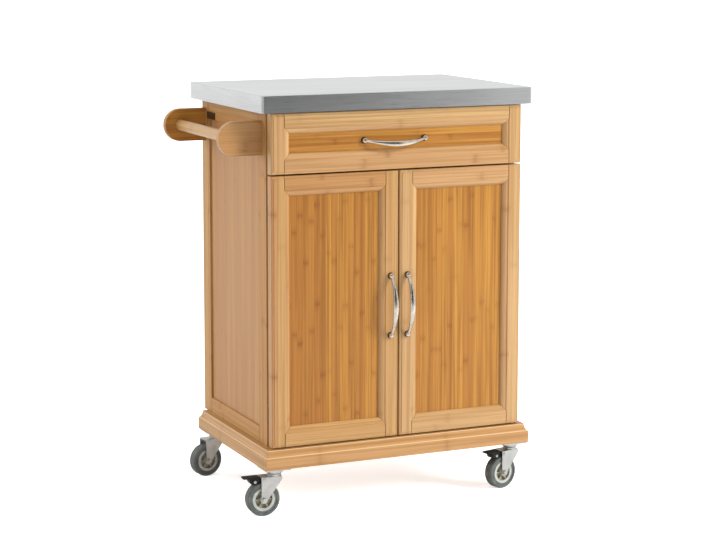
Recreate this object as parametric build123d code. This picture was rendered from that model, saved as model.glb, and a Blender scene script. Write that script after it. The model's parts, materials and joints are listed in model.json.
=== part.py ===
from build123d import *
import math
import os

# Kitchen cart: a bamboo cabinet with one drawer and two doors under a steel worktop, on four castors.
# Lengths are millimetres. X runs to the right seen from the front, Y to the back and Z up from the floor.
# While it is built, X = 0 is the middle of the cabinet and Y = 0 the front edge of the worktop.

# Worktop
top_width = 655.0
top_depth = 457.0
apron_height = 38.0
steel_thickness = 1.0
steel_corner_radius = 7.0
steel_fold_radius = 2.0
steel_lip = 14.0

# Heights of the levels, from the floor up
castor_height = 106.0
plinth_height = 43.0
cabinet_height = 730.0
sub_top_thickness = 6.0

# Where the cabinet stands under the worktop
side_overhang = 24.0
back_overhang = 17.0
front_overhang = 8.0
front_thickness = 21.0
hinge_gap = 10.0

# Cabinet sides: a frame of stiles and rails round a floating panel
side_thickness = 18.0
side_stile = 46.5
side_top_rail = 38.5
side_bottom_rail = 35.5
side_panel_recess = 5.0
side_chamfer = 0.7
panel_thickness = 6.0
groove_depth = 8.0
panel_clearance = 0.5

# Boards inside the cabinet
bottom_board_thickness = 15.0
rail_thickness = 18.0
rail_depth = 60.0
back_rail_height = 60.0
back_rail_thickness = 15.0
shelf_thickness = 15.0
shelf_height = 283.0
shelf_side_clearance = 1.0
shelf_front_setback = 8.0
shelf_back_clearance = 2.0
shelf_pin_diameter = 5.0
shelf_pin_depth = 9.0
shelf_pin_reach = 8.0
shelf_pin_front_inset = 23.0
shelf_pin_back_inset = 30.0

# Plinth moulding
plinth_overhang = 20.0
plinth_projection = 4.4
plinth_back_setback = 11.0
plinth_thickness = 38.0
plinth_fascia = 27.0
plinth_step = 1.5
plinth_ledge_setback = 7.5
castor_board_thickness = 18.0

# Doors and drawer front
stile_flat = 31.0
moulding_width = 13.5
moulding_depth = 10.0
moulding_quirk = 1.3
moulding_quirk_width = 1.5
moulding_lip = 1.5
moulding_sag = 1.2
edge_band = 6.0
edge_step = 1.2
edge_round = 2.5
joint_line_half = 0.6
joint_line_depth = 1.8
door_gap = 3.0
door_bottom_gap = 2.0
drawer_door_gap = 3.5
drawer_top_gap = 2.0
drawer_front_height = 131.5

# Drawer box and its slides
drawer_board = 12.0
drawer_box_height = 90.0
drawer_back_clearance = 30.0
drawer_box_lift = 11.5
drawer_bottom_thickness = 5.0
drawer_bottom_lift = 6.0
drawer_bottom_groove = 5.0
slide_space = 12.7
slide_height = 26.0
slide_sheet = 1.2
slide_flange = 10.0
slide_flange_inner = 9.5
slide_clearance = 0.4
slide_back_clearance = 21.0
slide_lift = 33.0
slide_front_setback = 3.0

# Butt hinges, two on each door
hinge_length = 60.0
hinge_end_distance = 70.0
hinge_axis_inset = 3.0
knuckle_radius = 3.0
hinge_pin_radius = 1.5
running_clearance = 0.05
knuckle_gap = 0.2
leaf_thickness = 1.2
fixed_leaf_width = 13.0
door_leaf_width = 28.0

# Magnetic door catches
catch_width = 30.0
catch_height = 14.0
catch_length = 28.0
catch_centre = 32.0
strike_thickness = 2.0
strike_width = 18.0
strike_height = 11.0
strike_gap = 0.3

# Bow handles
drawer_handle_spacing = 146.0
door_handle_spacing = 134.0
drawer_handle_offset = -8.0
drawer_handle_sag = 8.0
door_handle_sag = 1.5
door_handle_inset = 20.5
door_handle_centre = 342.0
handle_reach = 30.0
foot_radius = 7.0
foot_base = 1.5
foot_rim = 0.8
foot_dome_radius = 4.5
foot_height = 10.0
bow_end_radius = 3.4
bow_half_width = 6.2
bow_half_thickness = 2.8

# Towel rail on the left side
bracket_thickness = 18.0
bracket_height = 75.0
bracket_length = 99.0
bracket_top_drop = 14.5
front_bracket_inset = 21.4
rear_bracket_inset = 8.0
bracket_edge = 1.5
rail_diameter = 25.0
rail_seat_depth = 10.0
rail_seat_clearance = 0.05

# Small dark plate on the left side
plate_length = 50.0
plate_height = 16.0
plate_thickness = 1.5
plate_back_distance = 37.0
plate_rise = 1.0
plate_corner = 2.0

# Castors
wheel_radius = 37.5
tyre_width = 24.0
tyre_inner_radius = 25.5
tyre_step_radius = 31.0
tyre_step = 1.2
tyre_shoulder = 4.0
hub_width = 26.0
hub_rim_width = 22.0
hub_rim = 6.0
hub_boss_radius = 9.0
hub_web = 5.0
hub_ribs = 6
hub_rib_thickness = 2.0
axle_radius = 4.0
castor_trail = 28.0
castor_inset_x = 31.5
castor_inset_front = 31.0
castor_inset_back = 31.5
castor_plate = 60.0
castor_plate_thickness = 2.5
castor_plate_corner = 6.0
castor_hole_spacing = 44.0
castor_hole_diameter = 6.5
race_radius = 18.0
race_drop = 11.0
race_taper = 3.0
race_gap = 0.3
king_pin_radius = 5.0
king_pin_head_radius = 8.0
king_pin_head = 2.5
fork_sheet = 2.2
fork_inner_half = 13.5
fork_top_rise = 10.6
fork_lead = 13.0
fork_trail_edge = 6.5
fork_foot_radius = 8.0
axle_head_radius = 5.5
axle_head = 4.0
axle_nut = 5.0

# Brake pedals of the two front castors, measured from the axle: backwards and up
pedal_pivot_rise = 43.4
pedal_pivot_ahead = 1.0
pedal_pin_radius = 2.2
pedal_pin_head_radius = 4.0
pedal_pin_head = 1.5
pedal_barrel = (-6.0, 7.5, 39.6, 46.6)
pedal_barrel_half = 12.8
pedal_rivet_radius = 2.0
pedal_rivet = (19.5, 41.0)
shoe_heel = (20.0, 37.5)
shoe_tip = (24.0, 35.5)
shoe_end = (31.5, 41.5)
shoe_half = 11.0
tread_start = 9.0
tread_reach = 46.0
tread_half = 11.0
tread_top = 51.5
tread_thickness = 2.7
tread_corner = 3.0

# How far each castor is turned from trailing straight to the left, in degrees
castor_turns = {"front_left": -3.0, "front_right": 12.5, "rear_left": 10.0, "rear_right": 10.0}
braked_castors = ("front_left", "front_right")

# Levels and faces that follow from the sizes above
plinth_top = castor_height + plinth_height
cabinet_top = plinth_top + cabinet_height
worktop_bottom = cabinet_top + sub_top_thickness
cart_height = worktop_bottom + apron_height
cabinet_half = top_width / 2 - side_overhang
inner_half = cabinet_half - side_thickness
front_face = front_overhang
front_back = front_face + front_thickness
cabinet_front = front_back + hinge_gap
cabinet_back = top_depth - back_overhang
back_panel_front = cabinet_back - panel_thickness
back_rail_front = back_panel_front - back_rail_thickness
plinth_half = cabinet_half + plinth_overhang
plinth_front = -plinth_projection
plinth_back = cabinet_back - plinth_back_setback
bottom_board_top = plinth_top + bottom_board_thickness
drawer_front_top = worktop_bottom - drawer_top_gap
drawer_front_bottom = drawer_front_top - drawer_front_height
door_top = drawer_front_bottom - drawer_door_gap
door_bottom = plinth_top + door_bottom_gap
divider_top = drawer_front_bottom
divider_bottom = divider_top - rail_thickness
bracket_centre_x = -cabinet_half - bracket_length + bracket_height / 2
bracket_top = cabinet_top - bracket_top_drop
rail_height = bracket_top - bracket_height / 2

# The origin goes to the middle of the cart's outline on the floor
left_reach = -cabinet_half - bracket_length
right_reach = top_width / 2
front_reach = front_face - handle_reach
back_reach = top_depth
origin_shift = (-(left_reach + right_reach) / 2, -(front_reach + back_reach) / 2, 0)


def block(x, y, z):
    """A box from its low and high faces along each axis."""
    centre = ((x[0] + x[1]) / 2, (y[0] + y[1]) / 2, (z[0] + z[1]) / 2)
    return Pos(*centre) * Box(x[1] - x[0], y[1] - y[0], z[1] - z[0])


def rod(start, end, radius):
    """A round bar between two points."""
    axis = Vector(end) - Vector(start)
    return extrude(Plane(start, z_dir=axis) * Circle(radius), axis.length)


def prism(points, plane, depth):
    """A straight-sided solid over a closed outline."""
    return extrude(plane * make_face(Polyline(*points, close=True)), depth)


def mirrored(shape):
    return mirror(shape, Plane.YZ)


def ring_path(plane, width, height):
    half_w, half_h = width / 2, height / 2
    corners = [(-half_w, -half_h), (half_w, -half_h), (half_w, half_h), (-half_w, half_h)]
    return plane * Polyline(*corners, close=True)


# Worktop: a folded steel sheet over a board
def make_worktop():
    middle = Pos(0, top_depth / 2, worktop_bottom)
    skin_core = extrude(RectangleRounded(top_width, top_depth, steel_corner_radius), apron_height)
    skin = fillet(skin_core.faces().sort_by(Axis.Z)[-1].edges(), steel_fold_radius)
    inner_w = top_width - 2 * steel_thickness
    inner_d = top_depth - 2 * steel_thickness
    inner_corner = steel_corner_radius - steel_thickness
    hollow = extrude(RectangleRounded(inner_w, inner_d, inner_corner), apron_height - steel_thickness)
    floor = extrude(RectangleRounded(inner_w, inner_d, inner_corner), steel_thickness)
    lip_hole = extrude(Rectangle(inner_w - 2 * steel_lip, inner_d - 2 * steel_lip), steel_thickness)
    lip = floor - lip_hole
    core = hollow - lip
    return middle * (skin - core), middle * core


# Cabinet sides
def make_side():
    outer, inner = -cabinet_half, -inner_half
    stile_ys = (cabinet_front + side_stile, cabinet_back - side_stile)
    recess_top = cabinet_top - side_top_rail
    recess_bottom = plinth_top + side_bottom_rail
    panel_x = (outer + side_panel_recess, outer + side_panel_recess + panel_thickness)
    groove = block(
        panel_x,
        (stile_ys[0] - groove_depth, stile_ys[1] + groove_depth),
        (recess_bottom - groove_depth, recess_top + groove_depth),
    )
    edge = groove_depth - panel_clearance
    panel = block(
        panel_x,
        (stile_ys[0] - edge, stile_ys[1] + edge),
        (recess_bottom - edge, recess_top + edge),
    )
    members = [
        block((outer, inner), (cabinet_front, stile_ys[0]), (plinth_top, cabinet_top)),
        block((outer, inner), (stile_ys[1], cabinet_back), (plinth_top, cabinet_top)),
        block((outer, inner), stile_ys, (recess_top, cabinet_top)),
        block((outer, inner), stile_ys, (plinth_top, recess_bottom)),
    ]
    members = [chamfer(member.faces().sort_by(Axis.X)[0].edges(), side_chamfer) for member in members]
    return [member - groove for member in members], panel


# Carcass boards, rails, shelf and back
def make_carcass():
    between = (-inner_half, inner_half)
    boards = {}
    boards["bottom_board"] = block(between, (cabinet_front, back_panel_front), (plinth_top, bottom_board_top))
    boards["sub_top"] = block(
        (-cabinet_half, cabinet_half), (cabinet_front, cabinet_back), (cabinet_top, worktop_bottom)
    )
    boards["front_top_rail"] = block(
        between, (cabinet_front, cabinet_front + rail_depth), (cabinet_top - rail_thickness, cabinet_top)
    )
    boards["divider_rail"] = block(
        between, (cabinet_front, cabinet_front + rail_depth), (divider_bottom, divider_top)
    )
    boards["back_panel"] = block(between, (back_panel_front, cabinet_back), (plinth_top, cabinet_top))
    boards["back_rails"] = [
        block(between, (back_rail_front, back_panel_front), (cabinet_top - back_rail_height, cabinet_top)),
        block(
            between,
            (back_rail_front, back_panel_front),
            (bottom_board_top, bottom_board_top + back_rail_height),
        ),
    ]
    shelf_low = plinth_top + shelf_height
    shelf_x = inner_half - shelf_side_clearance
    shelf_y = (cabinet_front + shelf_front_setback, back_rail_front - shelf_back_clearance)
    boards["shelf"] = block((-shelf_x, shelf_x), shelf_y, (shelf_low, shelf_low + shelf_thickness))
    pin_z = shelf_low - shelf_pin_diameter / 2
    pins = []
    for pin_y in (cabinet_front + shelf_pin_front_inset, cabinet_back - shelf_pin_back_inset):
        inside = (-inner_half + shelf_pin_reach, pin_y, pin_z)
        outside = (-inner_half - shelf_pin_depth, pin_y, pin_z)
        pin = rod(inside, outside, shelf_pin_diameter / 2)
        pins += [pin, mirrored(pin)]
    boards["shelf_pins"] = pins
    return boards


# Plinth: a mitred moulding all round, with the board that the castors are screwed to
def make_plinth():
    depth = plinth_back - plinth_front
    centre_y = (plinth_back + plinth_front) / 2
    base = Plane((0, centre_y, castor_height))
    section_at = Plane((plinth_half, centre_y, castor_height), x_dir=(-1, 0, 0), z_dir=(0, 1, 0))
    cove_start = (plinth_step, plinth_fascia)
    cove_end = (plinth_ledge_setback, plinth_height)
    cove_middle = (
        (cove_start[0] + cove_end[0]) / 2 + plinth_step,
        (cove_start[1] + cove_end[1]) / 2 - plinth_step,
    )
    outline = [
        Line((0, 0), (0, plinth_fascia)),
        Line((0, plinth_fascia), cove_start),
        ThreePointArc(cove_start, cove_middle, cove_end),
        Line(cove_end, (plinth_thickness, plinth_height)),
        Line((plinth_thickness, plinth_height), (plinth_thickness, 0)),
        Line((plinth_thickness, 0), (0, 0)),
    ]
    section = section_at * make_face(outline)
    path = ring_path(base, 2 * plinth_half, depth)
    ring = sweep(section, path=path, transition=Transition.RIGHT)
    half_w, half_d = plinth_half, depth / 2
    t = plinth_thickness
    right = [(half_w, -half_d), (half_w, half_d), (half_w - t, half_d - t), (half_w - t, -half_d + t)]
    left = [(-x, y) for x, y in right]
    sides = [ring & prism(points, base, plinth_height) for points in (left, right)]
    ends = ring - sides[0] - sides[1]
    board = block(
        (-plinth_half + t, plinth_half - t),
        (plinth_front + t, plinth_back - t),
        (castor_height, castor_height + castor_board_thickness),
    )
    return sides + list(ends.solids()), board


# Doors and drawer front: moulded frame, floating panel
def make_front(width, height):
    """Frame members and panel of one front, face up on the XY plane, back at Z = 0."""
    member = stile_flat + moulding_width
    open_w, open_h = width - 2 * member, height - 2 * member
    plate = extrude(Rectangle(width, height), front_thickness - edge_step)
    plate = fillet(plate.faces().sort_by(Axis.Z)[-1].edges(), edge_round)
    field = extrude(Rectangle(width - 2 * edge_band, height - 2 * edge_band), front_thickness)
    frame = plate + field - extrude(Rectangle(open_w, open_h), front_thickness)
    face = front_thickness
    low = (0, face - moulding_depth + moulding_lip)
    high = (moulding_width - moulding_quirk_width, face - moulding_quirk)
    crown = ((low[0] + high[0]) / 2 - moulding_sag, (low[1] + high[1]) / 2 + moulding_sag)
    outline = [
        ThreePointArc(low, crown, high),
        Line(high, (moulding_width, high[1])),
        Line((moulding_width, high[1]), (moulding_width, face + 1)),
        Line((moulding_width, face + 1), (-1, face + 1)),
        Line((-1, face + 1), (-1, low[1])),
        Line((-1, low[1]), low),
    ]
    section = Plane((open_w / 2, 0, 0), x_dir=(1, 0, 0), z_dir=(0, -1, 0)) * make_face(outline)
    frame -= sweep(section, path=ring_path(Plane.XY, open_w, open_h), transition=Transition.RIGHT)
    panel_z = (face - moulding_depth - panel_thickness, face - moulding_depth)
    reach_w, reach_h = open_w / 2 + groove_depth, open_h / 2 + groove_depth
    frame -= block((-reach_w, reach_w), (-reach_h, reach_h), panel_z)
    c = panel_clearance
    panel = block((c - reach_w, reach_w - c), (c - reach_h, reach_h - c), panel_z)
    joint_x = width / 2 - stile_flat
    joint_y = height / 2 - stile_flat
    for side in (-1, 1):
        for end in (-1, 1):
            line_at = Plane((side * joint_x, end * joint_y, face), x_dir=(1, 0, 0), z_dir=(0, end, 0))
            vee = [(-joint_line_half, 0), (joint_line_half, 0), (0, end * joint_line_depth)]
            frame -= prism(vee, line_at, stile_flat)
    stile_outline = [
        (width / 2, -height / 2),
        (joint_x, -height / 2),
        (joint_x, -joint_y),
        (open_w / 2, -open_h / 2),
        (open_w / 2, open_h / 2),
        (joint_x, joint_y),
        (joint_x, height / 2),
        (width / 2, height / 2),
    ]
    right = frame & prism(stile_outline, Plane.XY, front_thickness)
    left = frame & prism([(-x, y) for x, y in stile_outline], Plane.XY, front_thickness)
    rails = frame - right - left
    return [left, right] + list(rails.solids()), panel


def stand_up(centre_x, centre_z):
    """Where a front made lying on its back stands: its face to the front of the cart."""
    return Plane((centre_x, front_back, centre_z), x_dir=(1, 0, 0), z_dir=(0, -1, 0))


def place(plane, shapes):
    return [plane.location * shape for shape in shapes]


# Bow handle: two domed feet and a bow that widens to its middle
def make_handle(spacing, sag):
    """Along X, standing on the XY plane, sagging towards -Y."""
    knob = extrude(Circle(foot_radius - foot_rim), foot_height)
    knob = fillet(knob.faces().sort_by(Axis.Z)[-1].edges(), foot_dome_radius)
    foot = extrude(Circle(foot_radius), foot_base) + knob
    half = spacing / 2
    rise = handle_reach - bow_half_thickness - foot_height / 2
    bow_radius = (half**2 + rise**2) / (2 * rise)
    half_turn = math.asin(half / bow_radius)
    stations = 9
    sections = []
    for i in range(stations):
        share = 2 * i / (stations - 1) - 1
        turn = half_turn * share
        swell = math.cos(math.pi / 2 * share)
        x = bow_radius * math.sin(turn)
        z = foot_height / 2 + rise - bow_radius * (1 - math.cos(turn))
        side_slope = sag * math.pi / 2 * math.sin(math.pi / 2 * share) / half
        along = Vector(math.cos(turn), side_slope, -math.sin(turn))
        half_w = bow_end_radius + (bow_half_width - bow_end_radius) * swell**2
        half_t = bow_end_radius + (bow_half_thickness - bow_end_radius) * swell**2
        plane = Plane((x, -sag * swell, z), x_dir=(0, 1, 0), z_dir=along)
        sections.append(plane * Ellipse(half_w, half_t))
    bow = loft(sections)
    return bow + Pos(-half, 0, 0) * foot + Pos(half, 0, 0) * foot


# Butt hinge for the left door; the right one is its mirror image
def make_hinge(middle_z):
    axis_x = -cabinet_half + hinge_axis_inset
    axis_y = (front_back + cabinet_front) / 2
    ends = [middle_z + hinge_length * step for step in (-1 / 2, -1 / 6, 1 / 6, 1 / 2)]
    neck_x = (axis_x + knuckle_radius - leaf_thickness, axis_x + knuckle_radius)

    def knuckle(low, high, bore, leaf_y):
        barrel = rod((axis_x, axis_y, low), (axis_x, axis_y, high), knuckle_radius)
        neck = block(neck_x, (min(axis_y, leaf_y), max(axis_y, leaf_y)), (low, high))
        return barrel + neck - rod((axis_x, axis_y, low), (axis_x, axis_y, high), bore)

    moving_bore = hinge_pin_radius + running_clearance
    fixed_leaf = block(
        (neck_x[0], neck_x[0] + fixed_leaf_width), (cabinet_front - leaf_thickness, cabinet_front),
        (ends[0], ends[3]),
    )
    for low, high in ((ends[0], ends[1]), (ends[2], ends[3])):
        fixed_leaf += knuckle(low, high, hinge_pin_radius, cabinet_front)
    door_leaf = block(
        (neck_x[0], neck_x[0] + door_leaf_width), (front_back, front_back + leaf_thickness),
        (ends[0], ends[3]),
    )
    door_leaf += knuckle(ends[1] + knuckle_gap, ends[2] - knuckle_gap, moving_bore, front_back)
    pin = rod((axis_x, axis_y, ends[0]), (axis_x, axis_y, ends[3]), hinge_pin_radius)
    return fixed_leaf, door_leaf, pin


# Drawer box and slides, left half
def make_slide_pair():
    wall = -inner_half
    low = divider_top + slide_lift
    high = low + slide_height
    y = (cabinet_front + slide_front_setback, back_rail_front - slide_back_clearance)
    outer = block((wall, wall + slide_flange), y, (low, high))
    outer -= block((wall + slide_sheet, wall + slide_flange), y, (low + slide_sheet, high - slide_sheet))
    box_face = wall + slide_space
    drop = slide_sheet + slide_clearance
    inner_z = (low + drop, high - drop)
    inner = block((box_face - slide_flange_inner, box_face), y, inner_z)
    inner -= block(
        (box_face - slide_flange_inner, box_face - slide_sheet), y,
        (inner_z[0] + slide_sheet, inner_z[1] - slide_sheet),
    )
    return outer, inner


def make_drawer_box():
    half = inner_half - slide_space
    low = divider_top + drawer_box_lift
    z = (low, low + drawer_box_height)
    y = (front_back, back_rail_front - drawer_back_clearance)
    board = drawer_board
    groove_z = (low + drawer_bottom_lift, low + drawer_bottom_lift + drawer_bottom_thickness)
    reach = half - board + drawer_bottom_groove
    bottom_y = (y[0] + board - drawer_bottom_groove, y[1] - board + drawer_bottom_groove)
    bottom = block((-reach, reach), bottom_y, groove_z)
    side = block((-half, -half + board), y, z) - bottom
    front = block((-half + board, half - board), (y[0], y[0] + board), z) - bottom
    back = block((-half + board, half - board), (y[1] - board, y[1]), z) - bottom
    return [side, mirrored(side)], [front, back], bottom


# Magnetic catch under the divider rail and its strike on the left door
def make_catch():
    x = (-catch_centre - catch_width / 2, -catch_centre + catch_width / 2)
    catch_front = front_back + strike_thickness + strike_gap
    catch = block(x, (catch_front, catch_front + catch_length), (divider_bottom - catch_height, divider_bottom))
    strike_low = divider_bottom - (catch_height + strike_height) / 2
    strike = block(
        (-catch_centre - strike_width / 2, -catch_centre + strike_width / 2),
        (front_back, front_back + strike_thickness), (strike_low, strike_low + strike_height),
    )
    return catch, strike


# Towel rail
def make_towel_rail():
    radius = bracket_height / 2
    outline = [
        Line((-cabinet_half, rail_height + radius), (bracket_centre_x, rail_height + radius)),
        ThreePointArc(
            (bracket_centre_x, rail_height + radius),
            (bracket_centre_x - radius, rail_height),
            (bracket_centre_x, rail_height - radius),
        ),
        Line((bracket_centre_x, rail_height - radius), (-cabinet_half, rail_height - radius)),
        Line((-cabinet_half, rail_height - radius), (-cabinet_half, rail_height + radius)),
    ]
    face = make_face(outline)
    front_y = cabinet_front + front_bracket_inset
    rear_y = cabinet_back - rear_bracket_inset - bracket_thickness
    brackets = []
    for y in (front_y, rear_y):
        plane = Plane((0, y + bracket_thickness, 0), x_dir=(1, 0, 0), z_dir=(0, -1, 0))
        board = extrude(plane * face, bracket_thickness)
        rounded = board.edges().filter_by(lambda edge: edge.center().X > -cabinet_half - 0.01, reverse=True)
        rounded = [edge for edge in rounded if abs(edge.tangent_at(0.5).Y) < 0.5]
        brackets.append(fillet(rounded, bracket_edge))
    start = (bracket_centre_x, front_y + bracket_thickness - rail_seat_depth, rail_height)
    end = (bracket_centre_x, rear_y + rail_seat_depth, rail_height)
    rail = rod(start, end, rail_diameter / 2)
    seat = rod(start, end, rail_diameter / 2 + rail_seat_clearance)
    return [bracket - seat for bracket in brackets], rail


def make_side_plate():
    high = cabinet_top - side_top_rail + plate_rise
    centre_y = cabinet_back - plate_back_distance - plate_length / 2
    plane = Plane((-cabinet_half, centre_y, high + plate_height / 2), x_dir=(0, -1, 0), z_dir=(-1, 0, 0))
    return extrude(plane * RectangleRounded(plate_length, plate_height, plate_corner), plate_thickness)


# Castors. Built with the swivel axis on Z at X = 0 and the wheel trailing towards +X.
axle_z = wheel_radius
crown_bottom = axle_z + wheel_radius + fork_top_rise
crown_top = crown_bottom + fork_sheet
race_bottom = castor_height - castor_plate_thickness - race_drop
fork_outer_half = fork_inner_half + fork_sheet
pedal_pivot = (castor_trail - pedal_pivot_ahead, axle_z + pedal_pivot_rise)


def make_castor_plate():
    square = RectangleRounded(castor_plate, castor_plate, castor_plate_corner)
    half = castor_hole_spacing / 2
    holes = [Pos(x, y) * Circle(castor_hole_diameter / 2) for x in (-half, half) for y in (-half, half)]
    sheet = Pos(0, 0, castor_height - castor_plate_thickness) * extrude(square - holes, castor_plate_thickness)
    race_top = castor_height - castor_plate_thickness
    cup_outline = [
        (0, race_bottom), (race_radius - race_taper, race_bottom), (race_radius, race_bottom + race_taper),
        (race_radius, race_top), (0, race_top),
    ]
    cup = revolve(Plane.XZ * make_face(Polyline(*cup_outline, close=True)), Axis.Z)
    plate = sheet + cup - rod((0, 0, race_bottom), (0, 0, castor_height), king_pin_radius)
    head_bottom = crown_bottom - race_gap - king_pin_head
    pin = rod((0, 0, head_bottom), (0, 0, castor_height), king_pin_radius)
    pin += rod((0, 0, head_bottom), (0, 0, head_bottom + king_pin_head), king_pin_head_radius)
    return plate, pin


def make_fork():
    back_x = castor_trail + fork_trail_edge
    foot = Pos(castor_trail, axle_z) * Circle(fork_foot_radius)
    leg_outline = make_face(
        Polyline(
            (-fork_lead, crown_top), (-fork_lead, crown_top - fork_sheet * 3),
            (castor_trail - fork_foot_radius, axle_z), (castor_trail, axle_z - fork_foot_radius),
            (back_x, axle_z - fork_foot_radius / 2), (back_x, crown_top), close=True,
        )
    )
    trimmed = leg_outline - Pos(castor_trail, axle_z - fork_foot_radius) * Rectangle(
        4 * fork_foot_radius, 2 * fork_foot_radius
    )
    profile = Plane.XZ * (trimmed + foot)
    leg = Pos(0, fork_outer_half, 0) * extrude(profile, fork_sheet)
    crown = block((-fork_lead, back_x), (-fork_outer_half, fork_outer_half), (crown_bottom, crown_top))
    ring = rod((0, 0, crown_bottom), (0, 0, race_bottom - race_gap), race_radius - race_taper)
    fork = crown + ring + leg + mirror(leg, Plane.XZ)
    bore = king_pin_radius + running_clearance
    fork -= rod((0, 0, crown_bottom), (0, 0, race_bottom), bore)
    across = fork_outer_half
    fork -= rod((castor_trail, -across, axle_z), (castor_trail, across, axle_z), axle_radius)
    return fork


def make_pedal_bore(radius):
    x, z = pedal_pivot
    return rod((x, -fork_outer_half, z), (x, fork_outer_half, z), radius)


def make_bolts(braked):
    outer = fork_outer_half
    shank = rod((castor_trail, -outer, axle_z), (castor_trail, outer, axle_z), axle_radius)
    head_at = Plane((castor_trail, -outer, axle_z), z_dir=(0, -1, 0))
    nut_at = Plane((castor_trail, outer, axle_z), z_dir=(0, 1, 0))
    head = extrude(head_at * RegularPolygon(axle_head_radius, 6), axle_head)
    nut = extrude(nut_at * RegularPolygon(axle_head_radius, 6), axle_nut)
    bolts = [shank + head + nut]
    if braked:
        x, z = pedal_pivot
        pin = make_pedal_bore(pedal_pin_radius)
        for side in (-1, 1):
            inner = (x, side * outer, z)
            pin += rod(inner, (x, side * (outer + pedal_pin_head), z), pedal_pin_head_radius)
        bolts.append(pin)
    return bolts


def make_wheel():
    half = tyre_width / 2
    shoulder = tyre_shoulder
    tyre_outline = [
        Line((tyre_inner_radius, -half + tyre_step), (tyre_step_radius, -half + tyre_step)),
        Line((tyre_step_radius, -half + tyre_step), (tyre_step_radius, -half)),
        Line((tyre_step_radius, -half), (wheel_radius - shoulder, -half)),
        ThreePointArc(
            (wheel_radius - shoulder, -half),
            (wheel_radius - shoulder * 0.3, -half + shoulder * 0.3),
            (wheel_radius, -half + shoulder),
        ),
        Line((wheel_radius, -half + shoulder), (wheel_radius, half - shoulder)),
        ThreePointArc(
            (wheel_radius, half - shoulder),
            (wheel_radius - shoulder * 0.3, half - shoulder * 0.3),
            (wheel_radius - shoulder, half),
        ),
        Line((wheel_radius - shoulder, half), (tyre_step_radius, half)),
        Line((tyre_step_radius, half), (tyre_step_radius, half - tyre_step)),
        Line((tyre_step_radius, half - tyre_step), (tyre_inner_radius, half - tyre_step)),
        Line((tyre_inner_radius, half - tyre_step), (tyre_inner_radius, -half + tyre_step)),
    ]
    tyre = revolve(make_face(tyre_outline), Axis.Y)
    rim_in = tyre_inner_radius - hub_rim
    rim_half, web_half, boss_half = hub_rim_width / 2, hub_web / 2, hub_width / 2
    bore = axle_radius + running_clearance
    upper = [
        (bore, boss_half), (hub_boss_radius, boss_half), (hub_boss_radius, web_half), (rim_in, web_half),
        (rim_in, rim_half), (tyre_inner_radius, rim_half),
    ]
    lower = [(x, -y) for x, y in reversed(upper)]
    hub = revolve(make_face(Polyline(*upper, *lower, close=True)), Axis.Y)
    rib_half = rim_half - 2
    rib = block(
        (hub_boss_radius - 1, rim_in + 1), (-rib_half, rib_half),
        (-hub_rib_thickness / 2, hub_rib_thickness / 2),
    )
    for i in range(hub_ribs):
        hub += Rot(0, 360 / hub_ribs * i, 0) * rib
    at_axle = Pos(castor_trail, 0, axle_z)
    return at_axle * tyre, at_axle * hub


def pedal_slab(outline, half_width):
    """A slab across the wheel from a side outline measured from the axle."""
    profile = Plane.XZ * Pos(castor_trail, axle_z) * make_face(Polyline(*outline, close=True))
    return Pos(0, half_width, 0) * extrude(profile, 2 * half_width)


def make_pedal():
    near, far, low, high = pedal_barrel
    tread_bottom = tread_top - tread_thickness
    barrel = pedal_slab([(near, low), (near, high), (far, high), (far, low + 0.5)], pedal_barrel_half)
    body_outline = [
        (far - 2, low + 0.5), (far - 2, high), (far + 0.5, high), (tread_start + 1, tread_bottom + 1),
        (shoe_end[0], tread_bottom + 1), shoe_end, (shoe_end[0] - 3, shoe_tip[1] + 1), shoe_tip, shoe_heel,
        ((far + shoe_heel[0]) / 2, low - 1),
    ]
    body = pedal_slab(body_outline, shoe_half)
    tread = block(
        (castor_trail + tread_start, castor_trail + tread_reach), (-tread_half, tread_half),
        (axle_z + tread_bottom, axle_z + tread_top),
    )
    tread = fillet(tread.edges().filter_by(Axis.Z).sort_by(Axis.X)[-2:], tread_corner)
    rivet_x, rivet_z = castor_trail + pedal_rivet[0], axle_z + pedal_rivet[1]
    rivet_hole = rod((rivet_x, -shoe_half, rivet_z), (rivet_x, shoe_half, rivet_z), pedal_rivet_radius)
    return barrel + body + tread - rivet_hole - make_pedal_bore(pedal_pin_radius + running_clearance)


def castor_places():
    side = plinth_half - castor_inset_x
    front = plinth_front + castor_inset_front
    back = plinth_back - castor_inset_back
    return {
        "front_left": (-side, front), "front_right": (side, front),
        "rear_left": (-side, back), "rear_right": (side, back),
    }


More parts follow.
